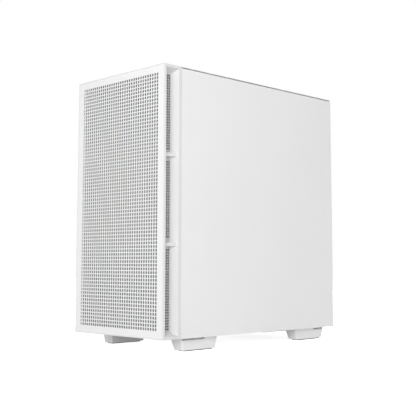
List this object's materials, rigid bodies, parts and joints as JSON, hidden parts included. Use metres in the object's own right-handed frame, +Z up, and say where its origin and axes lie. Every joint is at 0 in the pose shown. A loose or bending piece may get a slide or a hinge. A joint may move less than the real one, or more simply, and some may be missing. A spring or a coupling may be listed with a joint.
{
  "type": "desktop computer tower",
  "caption": "Upright white computer case with a perforated front, side air gaps, sliding side panels, lift-off filters, roof buttons and ports, fans, power supply and main board inside.",
  "frame": {"origin": "on the floor, under the middle of the tower's box", "axes": "+Z up, front towards -Y, +X to the right of someone facing the front"},
  "size_m": [0.215, 0.416, 0.433],
  "materials": {
    "white_steel": "fine-textured powder coat",
    "white_mesh": "satin paint",
    "white_plastic": "fine spark-eroded grain",
    "pad_rubber": "matt",
    "filter_cloth": "fine nylon net",
    "filter_rim": "matt",
    "white_screws": "satin paint",
    "glass": "clear tempered",
    "circuit_board": "black solder mask",
    "bright_steel": "nickel plate",
    "fan_plastic": "satin moulding",
    "black_steel": "fine-textured powder coat",
    "black_plastic": "satin moulding",
    "brass": "plain copper and brass",
    "aluminium": "mill finish",
    "dark_metal": "anodised"
  },
  "bodies": {
    "chassis": {"front_frame": "white_steel", "floor_pan": "white_steel", "rear_panel": "white_steel", "roof_panel": "white_steel", "motherboard_tray": "white_steel", "psu_shroud": "white_steel", "slot_covers": "white_steel", "drive_cage": "white_steel", "feet": "white_plastic", "io_insert": "white_plastic", "foot_pads": "pad_rubber", "motherboard": "circuit_board", "io_board": "circuit_board", "io_ports": "bright_steel", "case_screws": "bright_steel", "fan_screws": "bright_steel", "io_shield": "bright_steel", "inlet_pins": "bright_steel", "cpu": "bright_steel", "cpu_socket": "bright_steel", "front_fan_upper_frame": "fan_plastic", "front_fan_lower_frame": "fan_plastic", "rear_fan_frame": "fan_plastic", "cooler_fan_frame": "fan_plastic", "psu_fan_frame": "fan_plastic", "psu_case": "black_steel", "mains_inlet": "black_plastic", "memory_slots": "black_plastic", "expansion_slots": "black_plastic", "power_sockets": "black_plastic", "rear_ports": "black_plastic", "standoffs": "brass", "heat_pipes": "brass", "cooler_fins": "aluminium", "cooler_base": "aluminium", "hard_drive": "aluminium", "board_heatsinks": "dark_metal", "memory_modules": "dark_metal"},
    "front_panel": {"front_mesh": "white_mesh", "front_bezel": "white_plastic", "front_snaps": "white_plastic", "side_vents": "white_mesh", "front_filter_cloth": "filter_cloth", "front_filter_frame": "filter_rim"},
    "right_side": {"right_panel": "white_steel", "right_panel_screws": "white_screws"},
    "left_side": {"left_panel": "white_steel", "left_glass": "glass", "left_panel_screws": "white_screws"},
    "top_filter": {"top_filter_frame": "filter_rim", "top_filter_cloth": "filter_cloth"},
    "psu_filter": {"psu_filter": "white_plastic"},
    "power_button": {"power_button": "white_plastic"},
    "reset_button": {"reset_button": "white_plastic"},
    "front_fan_upper_rotor": {"front_fan_upper_rotor": "fan_plastic"},
    "front_fan_lower_rotor": {"front_fan_lower_rotor": "fan_plastic"},
    "rear_fan_rotor": {"rear_fan_rotor": "fan_plastic"},
    "cooler_fan_rotor": {"cooler_fan_rotor": "fan_plastic"},
    "psu_fan_rotor": {"psu_fan_rotor": "fan_plastic"},
    "psu_switch": {"psu_switch": "black_plastic"}
  },
  "joints": [
    {"name": "front_panel_pull", "type": "slide", "parent": "chassis", "child": "front_panel", "axis": [0, -1, 0], "range_m": [0, 0.06]},
    {"name": "right_panel_slide", "type": "slide", "parent": "chassis", "child": "right_side", "axis": [0, 1, 0], "range_m": [0, 0.018]},
    {"name": "left_panel_slide", "type": "slide", "parent": "chassis", "child": "left_side", "axis": [0, 1, 0], "range_m": [0, 0.018]},
    {"name": "top_filter_lift", "type": "slide", "parent": "chassis", "child": "top_filter", "axis": [0, 0, 1], "range_m": [0, 0.05]},
    {"name": "psu_filter_slide", "type": "slide", "parent": "chassis", "child": "psu_filter", "axis": [0, 1, 0], "range_m": [0, 0.12]},
    {"name": "power_button_press", "type": "slide", "parent": "chassis", "child": "power_button", "axis": [0, 0, -1], "range_m": [0, 0.0016], "stiffness_N_per_m": 600},
    {"name": "reset_button_press", "type": "slide", "parent": "chassis", "child": "reset_button", "axis": [0, 0, -1], "range_m": [0, 0.0012], "stiffness_N_per_m": 600},
    {"name": "front_fan_upper_spin", "type": "hinge", "parent": "chassis", "child": "front_fan_upper_rotor", "pos_m": [0, -0.1588, 0.338], "axis": [0, 1, 0], "continuous": true},
    {"name": "front_fan_lower_spin", "type": "hinge", "parent": "chassis", "child": "front_fan_lower_rotor", "pos_m": [0, -0.1588, 0.196], "axis": [0, 1, 0], "continuous": true},
    {"name": "rear_fan_spin", "type": "hinge", "parent": "chassis", "child": "rear_fan_rotor", "pos_m": [-0.03265, 0.1872, 0.328], "axis": [0, 1, 0], "continuous": true},
    {"name": "cooler_fan_spin", "type": "hinge", "parent": "chassis", "child": "cooler_fan_rotor", "pos_m": [-0.0083, 0.0669, 0.307], "axis": [0, 1, 0], "continuous": true},
    {"name": "psu_fan_spin", "type": "hinge", "parent": "chassis", "child": "psu_fan_rotor", "pos_m": [0.0025, 0.1297, 0.035], "axis": [0, 0, 1], "continuous": true},
    {"name": "psu_switch_rock", "type": "hinge", "parent": "chassis", "child": "psu_switch", "pos_m": [-0.0065, 0.1957, 0.0815], "axis": [1, 0, 0], "range_deg": [0, 18]}
  ]
}
